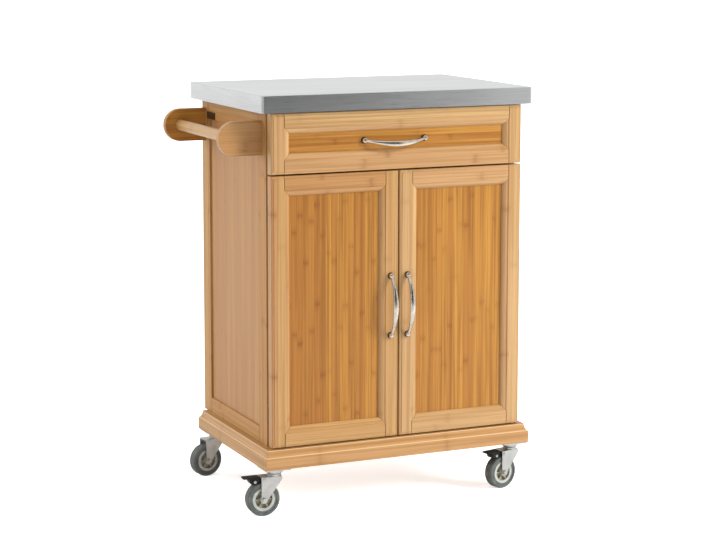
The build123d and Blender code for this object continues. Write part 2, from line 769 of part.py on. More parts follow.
def make_parts():
    parts = {}
    parts["worktop_steel"], parts["worktop_core"] = make_worktop()
    frame, panel = make_side()
    parts["left_side_frame"] = frame
    parts["left_side_panel"] = panel
    parts["right_side_frame"] = [mirrored(member) for member in frame]
    parts["right_side_panel"] = mirrored(panel)
    parts.update(make_carcass())
    pin_holes = parts["shelf_pins"]
    for side in ("left_side_frame", "right_side_frame"):
        parts[side] = [drilled(member, pin_holes) for member in parts[side]]
    parts["plinth_moulding"], parts["castor_board"] = make_plinth()

    (bracket_front, bracket_rear), rail = make_towel_rail()
    parts["towel_bracket_front"] = bracket_front
    parts["towel_bracket_rear"] = bracket_rear
    parts["towel_rail"] = rail
    parts["side_plate"] = make_side_plate()

    drawer_middle = (drawer_front_top + drawer_front_bottom) / 2
    frame, panel = make_front(2 * cabinet_half, drawer_front_height)
    at = stand_up(0, drawer_middle)
    parts["drawer_front_frame"] = place(at, frame)
    parts["drawer_front_panel"] = at.location * panel
    parts["drawer_sides"], parts["drawer_ends"], parts["drawer_bottom"] = make_drawer_box()
    panel_face = front_face + moulding_depth
    handle_at = Plane((drawer_handle_offset, panel_face, drawer_middle), x_dir=(1, 0, 0), z_dir=(0, -1, 0))
    parts["drawer_handle"] = handle_at.location * make_handle(drawer_handle_spacing, drawer_handle_sag)
    outer_slide, inner_slide = make_slide_pair()
    parts["cabinet_slides"] = [outer_slide, mirrored(outer_slide)]
    parts["drawer_slides"] = [inner_slide, mirrored(inner_slide)]

    door_width = cabinet_half - door_gap / 2
    door_middle = (door_top + door_bottom) / 2
    frame, panel = make_front(door_width, door_top - door_bottom)
    catch, strike = make_catch()
    handle = make_handle(door_handle_spacing, door_handle_sag)
    fixed_leaves, pins, door_leaves = [], [], []
    for middle_z in (door_bottom + hinge_end_distance, door_top - hinge_end_distance):
        fixed, moving, pin = make_hinge(middle_z)
        fixed_leaves += [fixed, mirrored(fixed)]
        pins += [pin, mirrored(pin)]
        door_leaves.append(moving)
    at = stand_up(-(cabinet_half + door_gap / 2) / 2, door_middle)
    left_frame = place(at, frame)
    left_panel = at.location * panel
    handle_at = Plane(
        (-door_handle_inset, front_face, castor_height + door_handle_centre),
        x_dir=(0, 0, 1), z_dir=(0, -1, 0),
    )
    left_handle = handle_at.location * handle
    parts["left_door_frame"] = left_frame
    parts["left_door_panel"] = left_panel
    parts["left_door_handle"] = left_handle
    parts["left_door_fittings"] = door_leaves + [strike]
    parts["right_door_frame"] = [mirrored(member) for member in left_frame]
    parts["right_door_panel"] = mirrored(left_panel)
    parts["right_door_handle"] = Pos(2 * door_handle_inset, 0, 0) * left_handle
    parts["right_door_fittings"] = [mirrored(shape) for shape in parts["left_door_fittings"]]
    parts["cabinet_hinge_leaves"] = fixed_leaves
    parts["hinge_pins"] = pins
    parts["door_catches"] = [catch, mirrored(catch)]

    plate, king_pin = make_castor_plate()
    fork = make_fork()
    tyre, hub = make_wheel()
    pedal = make_pedal()
    plates, king_pins = [], []
    for corner, (x, y) in castor_places().items():
        seat = Pos(x, y, 0)
        turned = seat * Rot(0, 0, 180 + castor_turns[corner])
        plates.append(seat * plate)
        king_pins.append(seat * king_pin)
        braked = corner in braked_castors
        own_fork = fork - make_pedal_bore(pedal_pin_radius) if braked else fork
        parts[f"fork_{corner}"] = turned * own_fork
        parts[f"castor_bolts_{corner}"] = [turned * bolt for bolt in make_bolts(braked)]
        parts[f"hub_{corner}"] = turned * hub
        parts[f"tyre_{corner}"] = turned * tyre
        if braked:
            parts[f"brake_pedal_{corner}"] = turned * pedal
    parts["castor_plates"] = plates
    parts["king_pins"] = king_pins
    return parts


def drilled(member, pins):
    for pin in pins:
        member = member - pin
    return member


def flattened(shape):
    """Every solid in a shape or a list of shapes."""
    shapes = shape if isinstance(shape, list) else [shape]
    return [solid for one in shapes for solid in one.solids()]


os.makedirs("parts", exist_ok=True)
for node, shape in make_parts().items():
    solids = [Pos(*origin_shift) * solid for solid in flattened(shape)]
    export_step(solids[0] if len(solids) == 1 else Compound(children=solids), f"parts/{node}.step")
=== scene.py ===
import json
import math

import bmesh
import bpy
from mathutils import Matrix, Vector


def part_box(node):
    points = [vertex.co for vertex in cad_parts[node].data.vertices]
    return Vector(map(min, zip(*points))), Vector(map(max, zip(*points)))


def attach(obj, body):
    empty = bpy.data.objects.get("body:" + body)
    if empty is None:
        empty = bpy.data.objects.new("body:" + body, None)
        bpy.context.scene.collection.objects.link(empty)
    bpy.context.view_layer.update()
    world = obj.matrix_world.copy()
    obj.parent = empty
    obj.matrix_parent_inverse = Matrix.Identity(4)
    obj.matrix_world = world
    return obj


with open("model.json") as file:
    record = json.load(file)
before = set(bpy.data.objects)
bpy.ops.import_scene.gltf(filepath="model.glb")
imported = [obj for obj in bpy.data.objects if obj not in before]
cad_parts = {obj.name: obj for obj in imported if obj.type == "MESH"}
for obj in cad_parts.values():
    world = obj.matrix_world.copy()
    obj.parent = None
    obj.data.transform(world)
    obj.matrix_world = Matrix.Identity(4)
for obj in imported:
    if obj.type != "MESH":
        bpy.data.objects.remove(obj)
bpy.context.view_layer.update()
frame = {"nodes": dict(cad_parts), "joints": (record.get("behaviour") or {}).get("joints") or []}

nodes = frame["nodes"]
print("frame loaded,", len(nodes), "nodes")


def srgb(red, green, blue):
    # a colour as a screen shows it, 0 to 255, turned into the linear values that shaders use
    levels = [level / 255 for level in (red, green, blue)]
    return tuple(v / 12.92 if v <= 0.04045 else ((v + 0.055) / 1.055) ** 2.4 for v in levels) + (1.0,)


white = (1, 1, 1, 1)


def linkNew(name, data):
    made = bpy.data.objects.new(name, data)
    bpy.context.scene.collection.objects.link(made)
    return made


# Building node trees

def feed(tree, node, inputs):
    # another node's socket is linked, and a plain value is set on the node's own socket
    for socket, value in inputs.items():
        if isinstance(value, bpy.types.NodeSocket):
            tree.links.new(value, node.inputs[socket])
        else:
            node.inputs[socket].default_value = value


def addNode(tree, kind, inputs=None, **settings):
    node = tree.nodes.new(kind)
    for name, value in settings.items():
        setattr(node, name, value)
    feed(tree, node, inputs or {})
    return node


def calc(tree, operation, *values):
    return addNode(tree, "ShaderNodeMath", dict(enumerate(values)), operation=operation).outputs[0]


def product(tree, first, *others):
    for other in others:
        first = calc(tree, "MULTIPLY", first, other)
    return first


def apart(tree, first, second):
    return calc(tree, "ABSOLUTE", calc(tree, "SUBTRACT", first, second))


def between(tree, value, low, high):
    # a value from 0 to 1 made into one from low to high
    return calc(tree, "MULTIPLY_ADD", value, high - low, low)


def fade(tree, value, low, high, first=0.0, last=1.0):
    # a smooth change from first to last while value goes from low to high
    wanted = {"Value": value, "From Min": low, "From Max": high, "To Min": first, "To Max": last}
    return addNode(tree, "ShaderNodeMapRange", wanted, interpolation_type="SMOOTHSTEP").outputs[0]


def mixColours(tree, share, first, second):
    return addNode(tree, "ShaderNodeMix", {0: share, 6: first, 7: second}, data_type="RGBA").outputs[2]


def mixValues(tree, share, first, second):
    return addNode(tree, "ShaderNodeMix", {0: share, 2: first, 3: second}, data_type="FLOAT").outputs[0]


def noise(tree, place, detail, roughness):
    # place holds x, y and z, each already scaled
    where = addNode(tree, "ShaderNodeCombineXYZ", dict(enumerate(place))).outputs[0]
    wanted = {"Vector": where, "Scale": 1.0, "Detail": detail, "Roughness": roughness}
    return addNode(tree, "ShaderNodeTexNoise", wanted).outputs[0]


def evenNoise(tree, axes, scale, detail, roughness):
    return noise(tree, [product(tree, axes[axis], scale) for axis in "xyz"], detail, roughness)


def grainNoise(tree, given, along, across, deep, detail, roughness, shift=0.0):
    # drawn out along the grain; a shift sets one strip apart from the next
    place = (product(tree, given["Along"], along), product(tree, given["Across"], across),
             calc(tree, "MULTIPLY_ADD", given["Depth"], deep, shift))
    return noise(tree, place, detail, roughness)


def startGroup(name, inputs, outputs):
    group = bpy.data.node_groups.new(name, "ShaderNodeTree")
    for socket, default in inputs.items():
        made = group.interface.new_socket(name=socket, in_out="INPUT", socket_type="NodeSocketFloat")
        made.default_value = default
    for socket in outputs:
        group.interface.new_socket(name=socket, in_out="OUTPUT", socket_type="NodeSocketFloat")
    return group, group.nodes.new("NodeGroupInput").outputs, group.nodes.new("NodeGroupOutput")


# Laminated bamboo: its noises' scales per metre, the reach of its marks in metres, the rest in shares
bambooGrain = {
    "fine": {"along": 6.0, "across": 620.0, "deep": 620.0, "detail": 3.0, "roughness": 0.6},
    "broad": {"along": 2.2, "across": 150.0, "deep": 150.0, "detail": 2.0, "roughness": 0.55},
    "ragged": {"along": 30.0, "across": 90.0, "deep": 0.0, "detail": 2.0, "roughness": 0.5},
    "chanceLayer": 0.37, "stripShift": 7.31,  # what each strip draws from, and how far its noises are shifted
    "spacing": (0.75, 1.25), "strength": (0.2, 1.0), "raggedReach": 0.014,  # of the knuckles
    "core": (0.0008, 0.007), "band": (0.0, 0.02), "coreShare": 0.5, "patch": (0.25, 0.6), "patchLeast": 0.3,
    "seam": (0.0001, 0.0008),
}


def bambooStripsGroup():
    # strips side by side, each with its own tone, fibres and knuckles
    look = bambooGrain
    group, given, made = startGroup(
        "bambooStrips",
        {"Along": 0.0, "Across": 0.0, "Depth": 0.0, "Strip Width": 0.02, "Knuckle Spacing": 0.26,
         "Seed": 0.0},
        ("Tone", "Warmth", "Knuckle", "Fibre", "Streak", "Seam"))
    place = calc(group, "DIVIDE", given["Across"], given["Strip Width"])
    strip = calc(group, "FLOOR", place)
    key = addNode(group, "ShaderNodeCombineXYZ", {0: strip, 1: given["Seed"], 2: look["chanceLayer"]}).outputs
    chance = addNode(group, "ShaderNodeTexWhiteNoise", {"Vector": key[0]}, noise_dimensions="3D").outputs
    chances = addNode(group, "ShaderNodeSeparateColor", {0: chance["Color"]}).outputs
    shift = product(group, strip, look["stripShift"])
    fine = grainNoise(group, given, shift=shift, **look["fine"])
    broad = grainNoise(group, given, shift=shift, **look["broad"])
    ragged = grainNoise(group, given, shift=shift, **look["ragged"])

    # knuckles: a dark core in a softer band, at another height on each strip
    spacing = product(group, given["Knuckle Spacing"], between(group, chances[1], *look["spacing"]))
    start = calc(group, "MULTIPLY_ADD", chances[2], spacing, given["Along"])
    reach = calc(group, "MULTIPLY_ADD", ragged, look["raggedReach"], start)
    turn = calc(group, "FLOORED_MODULO", reach, spacing)
    away = apart(group, turn, product(group, spacing, 0.5))
    core = fade(group, away, *look["core"], 1.0, 0.0)
    band = fade(group, away, *look["band"], 1.0, 0.0)
    mark = mixValues(group, look["coreShare"], band, core)
    patch = fade(group, ragged, *look["patch"], look["patchLeast"], 1.0)
    knuckle = product(group, mark, patch, between(group, chance["Value"], *look["strength"]))

    share = calc(group, "FRACT", place)
    edge = calc(group, "MINIMUM", share, calc(group, "SUBTRACT", 1.0, share))
    seam = fade(group, product(group, edge, given["Strip Width"]), *look["seam"], 1.0, 0.0)
    feed(group, made, {"Tone": chance["Value"], "Warmth": chances[0], "Knuckle": knuckle, "Fibre": fine,
                       "Streak": broad, "Seam": seam})
    return group


# How strongly each joint line of a frame shows, and the line just inside its outer edge, which is painted
# shade of the quirk along its rounded edge, and how far apart the seeds of its members are
framedLook = {"butt": 1.0, "mitre": 0.7, "edge": 0.6, "seedStep": 11.0}


def framedGroup():
    # which way the grain runs on a frame of stiles and rails, and where its joints are
    look = framedLook
    group, given, made = startGroup(
        "framedMembers",
        {"Across": 0.0, "Up": 0.0, "Left": 0.0, "Right": 0.0, "Low": 0.0, "High": 0.0, "Mitre": 0.0,
         "Line": 0.0011, "Edge": 1.0},  # an edge as far off as this draws no line
        ("Along", "Side", "Member", "JointAndEdgeShade"))
    leftOf = calc(group, "SUBTRACT", given["Left"], given["Across"])
    beside = calc(group, "MAXIMUM", leftOf, calc(group, "SUBTRACT", given["Across"], given["Right"]))
    above = calc(group, "SUBTRACT", given["Up"], given["High"])
    over = calc(group, "MAXIMUM", calc(group, "SUBTRACT", given["Low"], given["Up"]), above)
    pastMitre = calc(group, "GREATER_THAN", beside, given["Mitre"])
    stile = calc(group, "MAXIMUM", pastMitre, calc(group, "GREATER_THAN", beside, over))

    butt = fade(group, apart(group, beside, given["Mitre"]), 0.0, given["Line"], look["butt"], 0.0)
    butt = product(group, butt, calc(group, "GREATER_THAN", over, given["Mitre"]))
    mitre = fade(group, apart(group, beside, over), 0.0, given["Line"], look["mitre"], 0.0)
    mitre = product(group, mitre, calc(group, "GREATER_THAN", beside, 0.0),
                    calc(group, "LESS_THAN", beside, given["Mitre"]))
    # the line just inside the outer edge is painted shade of the quirk along the rounded edge, not a joint
    edge = fade(group, apart(group, beside, given["Edge"]), 0.0, given["Line"], look["edge"], 0.0)

    # a number for each member: bottom rail 0, top rail 1, left stile 2, right stile 3
    middle = product(group, calc(group, "ADD", given["Left"], given["Right"]), 0.5)
    rightSide = calc(group, "GREATER_THAN", given["Across"], middle)
    topSide = calc(group, "GREATER_THAN", above, 0.0)
    member = mixValues(group, stile, topSide, calc(group, "ADD", rightSide, 2.0))
    feed(group, made, {
        "Along": mixValues(group, stile, given["Across"], given["Up"]),
        "Side": mixValues(group, stile, given["Up"], given["Across"]),
        "Member": product(group, member, look["seedStep"]),
        "JointAndEdgeShade": calc(group, "MAXIMUM", calc(group, "MAXIMUM", butt, mitre), edge)})
    return group


# Brushed steel: how far its lines and clouds are drawn out, per metre
brushedGrain = {
    "line": {"along": 12.0, "detail": 3.0, "roughness": 0.65},
    "cloud": {"along": 4.0, "across": 22.0, "deep": 22.0, "detail": 2.0, "roughness": 0.5},
}


def brushedGroup():
    # fine parallel lines left by an abrasive belt
    group, given, made = startGroup(
        "brushedLines", {"Along": 0.0, "Across": 0.0, "Depth": 0.0, "Line Width": 0.0006}, ("Line", "Cloud"))
    fineness = calc(group, "DIVIDE", 1.0, given["Line Width"])
    line = grainNoise(group, given, across=fineness, deep=fineness, **brushedGrain["line"])
    feed(group, made, {"Line": line, "Cloud": grainNoise(group, given, **brushedGrain["cloud"])})
    return group


shaderGroups = {"bamboo": bambooStripsGroup(), "framed": framedGroup(), "brushed": brushedGroup()}
print("shader groups built")


def useGroup(tree, name, inputs):
    return addNode(tree, "ShaderNodeGroup", inputs, node_tree=shaderGroups[name]).outputs


def startMaterial(name):
    material = bpy.data.materials.new(name)
    material.use_nodes = True
    tree = material.node_tree
    place = addNode(tree, "ShaderNodeTexCoord").outputs["Object"]
    axes = addNode(tree, "ShaderNodeSeparateXYZ", {0: place}).outputs
    return material, tree, tree.nodes["Principled BSDF"], dict(zip("xyz", axes))


def bump(tree, height, distance):
    wanted = {"Height": height, "Distance": distance, "Strength": 1.0}
    return addNode(tree, "ShaderNodeBump", wanted).outputs[0]


# Bamboo: colours as the photographed wood shows them, strip widths and spacings in metres
wideStrips = {"stripWidth": 0.021, "knuckles": 0.5, "spacing": 0.34}
bambooFinish = {
    "frame": {
        "pale": srgb(186, 147, 92), "deep": srgb(174, 128, 74), "pink": srgb(182, 132, 85),
        "knuckle": srgb(132, 84, 38), "fibre": srgb(158, 113, 62),
        "roughness": (0.32, 0.48), "specular": 0.5, "coat": 0.12, **wideStrips,
    },
    # a paler copy of the frame finish: painted light and sheen, for the right door, the drawer front and the
    # towel rail
    "litFrame": {
        "pale": srgb(191, 157, 106), "deep": srgb(181, 140, 89), "pink": srgb(189, 144, 101),
        "knuckle": srgb(140, 94, 48), "fibre": srgb(163, 122, 73),
        "roughness": (0.30, 0.46), "specular": 0.5, "coat": 0.14, **wideStrips,
    },
    "panel": {
        "pale": srgb(187, 134, 58), "deep": srgb(157, 104, 42), "pink": srgb(168, 110, 50),
        "knuckle": srgb(122, 74, 28), "fibre": srgb(138, 88, 34),
        "roughness": (0.30, 0.46), "specular": 0.3, "coat": 0.04,
        "stripWidth": 0.0135, "knuckles": 0.7, "spacing": 0.27,
    },
    "plinth": {
        "pale": srgb(188, 150, 97), "deep": srgb(177, 132, 80), "pink": srgb(184, 136, 90),
        "knuckle": srgb(132, 84, 38), "fibre": srgb(158, 113, 62),
        "roughness": (0.32, 0.48), "specular": 0.5, "coat": 0.12, **wideStrips,
        # the pale colour laid at these two heights is painted highlight on the moulding's upper edges
        "paintedHighlight": srgb(226, 192, 146), "paintedHighlightHeights": (0.1333, 0.1476), "paintedHighlightReach": 0.0012, "paintedHighlightShare": 0.9,
    },
    "sideFrame": {
        "pale": srgb(184, 145, 91), "deep": srgb(171, 126, 73), "pink": srgb(179, 130, 83),
        "knuckle": srgb(132, 84, 38), "fibre": srgb(157, 112, 62),
        "roughness": (0.38, 0.54), "specular": 0.22, "coat": 0.02, **wideStrips,
    },
    "sidePanel": {
        "pale": srgb(180, 139, 92), "deep": srgb(169, 124, 80), "pink": srgb(175, 125, 86),
        "knuckle": srgb(150, 106, 68), "fibre": srgb(162, 120, 80),
        "roughness": (0.38, 0.54), "specular": 0.25, "coat": 0.02,
        "stripWidth": 0.0155, "knuckles": 0.3, "spacing": 0.36,
    },
    "board": {
        "pale": srgb(189, 155, 107), "deep": srgb(177, 138, 90), "pink": srgb(183, 141, 99),
        "knuckle": srgb(136, 93, 52), "fibre": srgb(165, 126, 80),
        "roughness": (0.40, 0.56), "specular": 0.35, "coat": 0.04,
        "stripWidth": 0.024, "knuckles": 0.6, "spacing": 0.3,
    },
}
# What every bamboo finish shares: how much of each colour is laid over the strips, and their relief
bambooLayers = {
    "pink": 0.6, "streak": (0.42, 0.68), "streakShare": 0.8, "fibre": (0.45, 0.72), "fibreShare": 0.55,
    "seam": 0.22, "joint": 0.85, "jointAndEdgeShadeColour": srgb(108, 60, 22), "coatRoughness": 0.3,
    "relief": 0.00012, "fibreRise": 0.5, "streakRise": 0.5, "seamDrop": 0.5, "jointDrop": 2.0,
}


def bambooMaterial(name, finish, grain, seed, opening=None):
    # grain names the axes along the strips, across them and through the board
    look, layers = bambooFinish[finish], bambooLayers
    material, tree, shader, axes = startMaterial(name)
    along, across, deep = (axes[axis] for axis in grain)
    joint = 0.0
    if opening:
        members = useGroup(tree, "framed", {"Across": along, "Up": across, **opening})
        along, across, joint = members["Along"], members["Side"], members["JointAndEdgeShade"]
        seed = calc(tree, "ADD", members["Member"], seed)
    strips = useGroup(tree, "bamboo", {
        "Along": along, "Across": across, "Depth": deep, "Seed": seed,
        "Strip Width": look["stripWidth"], "Knuckle Spacing": look["spacing"]})

    wood = mixColours(tree, strips["Tone"], look["pale"], look["deep"])
    wood = mixColours(tree, product(tree, strips["Warmth"], layers["pink"]), wood, look["pink"])
    for mark, layer in (("Streak", "streak"), ("Fibre", "fibre")):
        share = fade(tree, strips[mark], *layers[layer], 0.0, layers[layer + "Share"])
        wood = mixColours(tree, share, wood, look["fibre"])
    wood = mixColours(tree, product(tree, strips["Knuckle"], look["knuckles"]), wood, look["knuckle"])
    wood = mixColours(tree, product(tree, strips["Seam"], layers["seam"]), wood, look["knuckle"])
    # the joint colour lies on the joints, and as painted shade on the line just inside a front's outer edge
    wood = mixColours(tree, product(tree, joint, layers["joint"]), wood, layers["jointAndEdgeShadeColour"])
    # painted highlights: pale lines along the plinth moulding at the given heights
    for height in look.get("paintedHighlightHeights", ()):
        paintedHighlight = fade(tree, apart(tree, axes["z"], height), 0.0, look["paintedHighlightReach"], look["paintedHighlightShare"], 0.0)
        wood = mixColours(tree, paintedHighlight, wood, look["paintedHighlight"])

    rise = calc(tree, "MULTIPLY_ADD", strips["Fibre"], layers["fibreRise"],
                product(tree, strips["Streak"], layers["streakRise"]))
    rise = calc(tree, "SUBTRACT", rise, product(tree, strips["Seam"], layers["seamDrop"]))
    rise = calc(tree, "SUBTRACT", rise, product(tree, joint, layers["jointDrop"]))
    feed(tree, shader, {
        "Base Color": wood, "Roughness": between(tree, strips["Fibre"], *look["roughness"]),
        "Specular IOR Level": look["specular"], "Coat Weight": look["coat"],
        "Coat Roughness": layers["coatRoughness"], "Normal": bump(tree, rise, layers["relief"])})
    return material


# Metals: colours in linear values, grain per metre, relief and heights in metres
metalFinish = {
    "steel": {
        "bright": (0.68, 0.685, 0.69, 1), "dull": (0.54, 0.545, 0.55, 1), "shade": (0.5, 1.0),
        "roughness": (0.22, 0.38), "relief": 0.00003, "cloudShare": 0.5, "sideFacing": 0.7,
    },
    "nickel": {
        "bright": (0.68, 0.62, 0.54, 1), "dull": (0.48, 0.43, 0.37, 1), "shade": (0.7, 1.25),
        "roughness": (0.19, 0.33), "relief": 0.00002, "grain": 900.0, "coarser": 9.0,
        # the foot colour is painted shade where the handle's feet meet the face they stand on
        "edge": (0.42, 0.34, 0.26, 1), "foot": (0.11, 0.08, 0.055, 1), "footShadeHeights": (0.00135, 0.0045),
    },
    "zinc": {
        "bright": (0.60, 0.61, 0.59, 1), "dull": (0.48, 0.49, 0.48, 1), "shade": (0.7, 1.25),
        "roughness": (0.31, 0.45), "relief": 0.00004, "grain": 500.0, "coarser": 9.0,
    },
}


def finishMetal(tree, shader, look, shade, lines, covered=None):
    # covered is a share and a colour: the metal shows by that share, and the colour where it doesn't
    colour = mixColours(tree, fade(tree, shade, *look["shade"]), look["dull"], look["bright"])
    if covered:
        colour = mixColours(tree, covered[0], covered[1], colour)
    feed(tree, shader, {
        "Base Color": colour, "Metallic": 1.0, "Specular Tint": look.get("edge", white),
        "Roughness": between(tree, lines, *look["roughness"]), "Normal": bump(tree, lines, look["relief"])})


def brushedSteel():
    # the lines run along the worktop, and from front to back on its two ends
    look = metalFinish["steel"]
    material, tree, shader, axes = startMaterial("brushedSteel")
    normal = addNode(tree, "ShaderNodeNewGeometry").outputs["Normal"]
    facing = addNode(tree, "ShaderNodeSeparateXYZ", {0: normal}).outputs[0]
    onSide = calc(tree, "GREATER_THAN", calc(tree, "ABSOLUTE", facing), look["sideFacing"])
    lines = useGroup(tree, "brushed", {
        "Along": mixValues(tree, onSide, axes["x"], axes["y"]),
        "Across": mixValues(tree, onSide, axes["y"], axes["x"]), "Depth": axes["z"]})
    shade = calc(tree, "MULTIPLY_ADD", lines["Cloud"], look["cloudShare"], lines["Line"])
    finishMetal(tree, shader, look, shade, lines["Line"])
    return material


def platedMetal(name, footAt=None):
    # with a foot, what lies close to that plane is darkened: painted shade where a handle's feet meet the
    # face it stands on
    look = metalFinish[name]
    material, tree, shader, axes = startMaterial(name + "Plate")
    grain = evenNoise(tree, axes, look["grain"], detail=3.0, roughness=0.6)
    mottle = evenNoise(tree, axes, look["grain"] / look["coarser"], detail=2.0, roughness=0.5)
    footShade = None
    if footAt is not None:
        clearOfFootShade = fade(tree, calc(tree, "SUBTRACT", footAt, axes["y"]), *look["footShadeHeights"])
        footShade = (clearOfFootShade, look["foot"])
    finishMetal(tree, shader, look, calc(tree, "ADD", mottle, grain), grain, footShade)
    return material


# Rubber, plastics, the hinges' bronze coat and the dark plate: grain per metre, relief and reach in metres
softFinish = {
    "tyreRubber": {
        "pale": srgb(101, 105, 102), "deep": srgb(74, 79, 77),
        "roughness": (0.52, 0.72), "grain": 900.0, "relief": 0.00008, "specular": 0.5,
    },
    "hubPlastic": {
        # the darker recess colour is painted shade inside the hub, out to the recess reach
        "pale": srgb(180, 184, 178), "deep": srgb(158, 160, 150), "recessShade": srgb(164, 158, 140),
        "recessShadeReach": (0.0205, 0.0235), "roughness": (0.38, 0.58), "grain": 700.0, "relief": 0.00004,
        "specular": 0.5,
    },
    "pedalPlastic": {
        "pale": srgb(30, 35, 33), "deep": srgb(14, 18, 17),
        "roughness": (0.45, 0.65), "grain": 1100.0, "relief": 0.00008, "specular": 0.2,
    },
    "catchPlastic": {
        "pale": srgb(236, 236, 230), "deep": srgb(216, 216, 208),
        "roughness": (0.4, 0.6), "grain": 800.0, "relief": 0.00003, "specular": 0.5,
    },
    "darkPlate": {
        "pale": srgb(62, 40, 22), "deep": srgb(38, 24, 12),
        "roughness": (0.28, 0.48), "grain": 1000.0, "relief": 0.00004, "specular": 0.5,
    },
    "hingeBronze": {
        "pale": srgb(92, 66, 46), "deep": srgb(60, 42, 28),
        "roughness": (0.3, 0.5), "grain": 900.0, "relief": 0.00003, "specular": 0.5,
    },
}
softMottle = {"scale": 60.0, "shade": (0.55, 0.95), "grainShare": 0.5}


def softMaterial(name, centre=None):
    # with a centre, what lies near it takes the darker recess colour, as inside a wheel's hub: painted shade
    # in the recess
    look = softFinish[name]
    material, tree, shader, axes = startMaterial(name)
    grain = evenNoise(tree, axes, look["grain"], detail=2.0, roughness=0.6)
    mottle = evenNoise(tree, axes, softMottle["scale"], detail=3.0, roughness=0.6)
    shade = calc(tree, "MULTIPLY_ADD", grain, softMottle["grainShare"], mottle)
    colour = mixColours(tree, fade(tree, shade, *softMottle["shade"]), look["deep"], look["pale"])
    if centre:
        place = addNode(tree, "ShaderNodeCombineXYZ", dict(enumerate(axes.values()))).outputs[0]
        away = addNode(tree, "ShaderNodeVectorMath", {0: place, 1: centre}, operation="DISTANCE").outputs[1]
        colour = mixColours(tree, fade(tree, away, *look["recessShadeReach"]), look["recessShade"], colour)
    feed(tree, shader, {
        "Base Color": colour, "Roughness": between(tree, mottle, *look["roughness"]),
        "Specular IOR Level": look["specular"], "Normal": bump(tree, grain, look["relief"])})
    return material


def finishNode(node, material):
    for slot in nodes[node].material_slots:
        slot.material = material


# Frames of stiles and rails: how wide their members are, in metres
# edgeInset places the painted shade line just inside the fronts' outer edges
frontMember = {"member": 0.0445, "mitre": 0.0135, "edgeInset": 0.0022}
sideMember = {"stile": 0.0465, "top": 0.0385, "bottom": 0.0355}
plinthMember = {"width": 0.038}


def frontOpening(node):
    low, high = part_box(node)
    inset = frontMember["member"]
    return {"Left": low.x + inset, "Right": high.x - inset, "Low": low.z + inset, "High": high.z - inset,
            "Mitre": frontMember["mitre"], "Edge": inset - frontMember["edgeInset"]}


def sideOpening(node):
    low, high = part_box(node)
    return {"Left": low.y + sideMember["stile"], "Right": high.y - sideMember["stile"],
            "Low": low.z + sideMember["bottom"], "High": high.z - sideMember["top"], "Mitre": 0.0}


def plinthOpening(node):
    low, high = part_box(node)
    width = plinthMember["width"]
    return {"Left": low.x + width, "Right": high.x - width, "Low": low.y + width, "High": high.y - width,
            "Mitre": width}


# Every wooden node: its finish, the axes along, across and through its strips, and a frame's opening
framedWood = {
    "left_door_frame": ("frame", "xzy", frontOpening),
    "right_door_frame": ("litFrame", "xzy", frontOpening),
    "drawer_front_frame": ("litFrame", "xzy", frontOpening),
    "left_side_frame": ("sideFrame", "yzx", sideOpening),
    "right_side_frame": ("sideFrame", "yzx", sideOpening),
    "plinth_moulding": ("plinth", "xyz", plinthOpening),
}
plainWood = {
    "left_door_panel": ("panel", "zxy"), "right_door_panel": ("panel", "zxy"),
    "drawer_front_panel": ("panel", "xzy"), "left_side_panel": ("sidePanel", "zyx"),
    "right_side_panel": ("sidePanel", "zyx"), "sub_top": ("frame", "xyz"), "back_panel": ("sidePanel", "zxy"),
    "back_rails": ("board", "xzy"), "bottom_board": ("board", "xyz"), "front_top_rail": ("board", "xyz"),
    "divider_rail": ("board", "xyz"), "shelf": ("board", "xyz"), "castor_board": ("board", "xyz"),
    # the rear bracket takes the darker panel finish: painted shade for the worktop overhang above it
    "towel_bracket_front": ("frame", "xzy"), "towel_bracket_rear": ("panel", "xzy"),
    "towel_rail": ("litFrame", "yzx"), "drawer_sides": ("board", "yzx"), "drawer_ends": ("board", "xzy"),
    "drawer_bottom": ("board", "yxz"), "worktop_core": ("board", "xyz"),
}
woodSeeds = {"framed": {"first": 3.0, "step": 17.0}, "plain": {"first": 200.0, "step": 13.0}}


def woodSeed(kind, place):
    return woodSeeds[kind]["first"] + woodSeeds[kind]["step"] * place


for place, (node, (finish, grain, opening)) in enumerate(framedWood.items()):
    seed = woodSeed("framed", place)
    finishNode(node, bambooMaterial(node + "_bamboo", finish, grain, seed, opening(node)))
for place, (node, (finish, grain)) in enumerate(plainWood.items()):
    finishNode(node, bambooMaterial(node + "_bamboo", finish, grain, woodSeed("plain", place)))
print("bamboo laid on", len(framedWood) + len(plainWood), "nodes")

# The other nodes' finishes, and what the names of the nodes that take them start with
slotFinish = {
    "worktop_steel": brushedSteel(), "zinc": platedMetal("zinc"), "dark_bronze": softMaterial("hingeBronze"),
    "grey_tyre": softMaterial("tyreRubber"), "black_plastic": softMaterial("pedalPlastic"),
    "catch_plastic": softMaterial("catchPlastic"), "dark_plate": softMaterial("darkPlate"),
}
slotNodes = {
    "worktop_steel": ("worktop_steel",), "grey_tyre": ("tyre",), "black_plastic": ("brake_pedal",),
    "catch_plastic": ("door_catches",), "dark_plate": ("side_plate",),
    "zinc": ("cabinet_slides", "drawer_slides", "castor_plates", "castor_bolts", "king_pins", "shelf_pins",
             "fork"),
    "dark_bronze": ("hinge_pins", "cabinet_hinge_leaves", "left_door_fittings", "right_door_fittings"),
}
for node in nodes:
    # each hub and handle has its own finish, which changes with the distance from its middle or its foot:
    # painted shade in the hub's recess, and painted shade where the handle's feet meet the face
    for slotName, starts in slotNodes.items():
        if node.startswith(starts):
            finishNode(node, slotFinish[slotName])
    if node.startswith("hub"):
        low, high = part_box(node)
        finishNode(node, softMaterial("hubPlastic", (low + high) / 2))
    if node.endswith("handle"):
        finishNode(node, platedMetal("nickel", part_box(node)[1].y))
print("metal, rubber and plastic finishes made")


